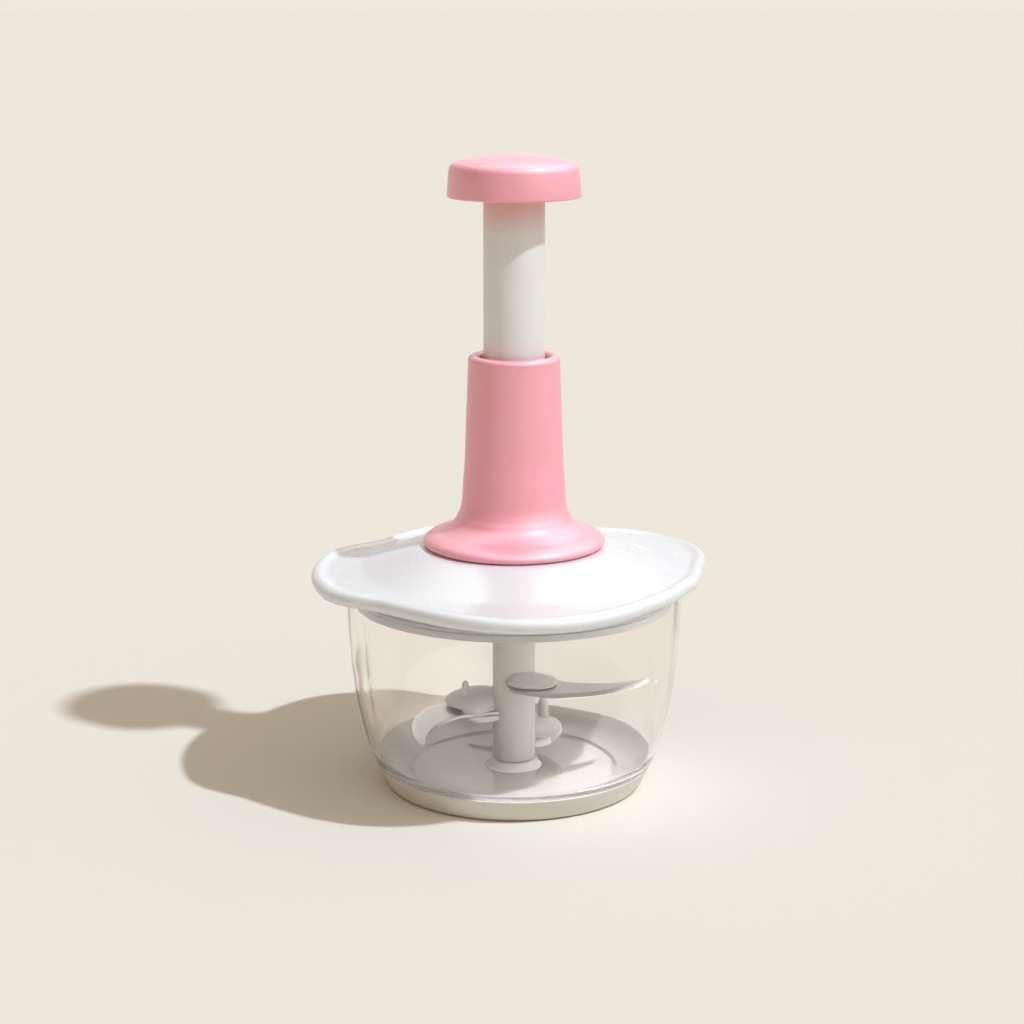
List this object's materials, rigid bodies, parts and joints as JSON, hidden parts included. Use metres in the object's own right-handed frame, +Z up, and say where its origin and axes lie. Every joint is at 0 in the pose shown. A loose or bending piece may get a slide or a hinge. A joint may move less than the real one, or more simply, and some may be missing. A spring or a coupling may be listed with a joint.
{
  "type": "plunger food chopper",
  "caption": "Hand food chopper: pressing the knob turns a twisted rod that spins staggered blades in a clear lidded bowl.",
  "frame": {"origin": "on the chopper's axis, at the flat underside of the base", "axes": "+Z up along the axis of the plunger and the blades, -Y towards the front of the picture, +X to its right"},
  "size_m": [0.1746, 0.1756, 0.2751],
  "materials": {
    "pink_plastic": "satin pink moulded plastic",
    "white_plastic": "glossy white moulded plastic",
    "clear_plastic": "clear moulded plastic",
    "off_white_rubber": "matt off-white rubber",
    "seal_silicone": "soft translucent silicone",
    "brushed_steel": "brushed stainless steel",
    "bearing_brass": "machined brass"
  },
  "bodies": {
    "bowl": {"bowl": "clear_plastic", "non_slip_base": "off_white_rubber", "pivot_pin": "brushed_steel"},
    "lid": {"lid_shell": "white_plastic", "lid_liner": "white_plastic", "lid_seal": "seal_silicone", "tower_housing": "pink_plastic", "guide_bush": "white_plastic", "tower_screw_1": "brushed_steel", "tower_screw_2": "brushed_steel", "tower_screw_3": "brushed_steel", "liner_screw_1": "brushed_steel", "liner_screw_2": "brushed_steel", "liner_screw_3": "brushed_steel", "drive_bearing": "bearing_brass", "thrust_washer": "brushed_steel", "spring_seat": "white_plastic", "return_spring": "brushed_steel"},
    "plunger": {"press_knob": "pink_plastic", "knob_screw": "brushed_steel", "plunger_tube": "white_plastic", "stop_collar": "white_plastic", "drive_nut": "white_plastic"},
    "drive": {"twisted_rod": "brushed_steel", "rod_collar": "bearing_brass", "hex_driver": "white_plastic", "driver_pin": "brushed_steel"},
    "blades": {"blade_shaft": "white_plastic", "upper_blade": "brushed_steel", "middle_blade": "brushed_steel", "lower_blade": "brushed_steel", "upper_clamp": "white_plastic", "middle_clamp": "white_plastic", "lower_clamp": "white_plastic", "upper_rivet_1": "brushed_steel", "upper_rivet_2": "brushed_steel", "middle_rivet_1": "brushed_steel", "middle_rivet_2": "brushed_steel", "lower_rivet_1": "brushed_steel", "lower_rivet_2": "brushed_steel", "foot_bush": "bearing_brass"}
  },
  "joints": [
    {"name": "lid_lift", "type": "slide", "parent": "bowl", "child": "lid", "axis": [0, 0, 1], "range_m": [0, 0.12]},
    {"name": "plunger_press", "type": "slide", "parent": "lid", "child": "plunger", "axis": [0, 0, -1], "range_m": [0, 0.063], "stiffness_N_per_m": 150, "springref_m": -0.02, "deforming": ["return_spring"]},
    {"name": "drive_spin", "type": "hinge", "parent": "lid", "child": "drive", "pos_m": [0, 0, 0.0907], "axis": [0, 0, -1], "range_deg": [0, 541]},
    {"name": "blade_spin", "type": "hinge", "parent": "bowl", "child": "blades", "pos_m": [0, 0, 0.01], "axis": [0, 0, -1], "range_deg": [0, 541]}
  ],
  "couplings": [
    {"joint": "drive_spin", "follows": "plunger_press", "rad_per_m": 149.6},
    {"joint": "blade_spin", "follows": "plunger_press", "rad_per_m": 149.6}
  ]
}
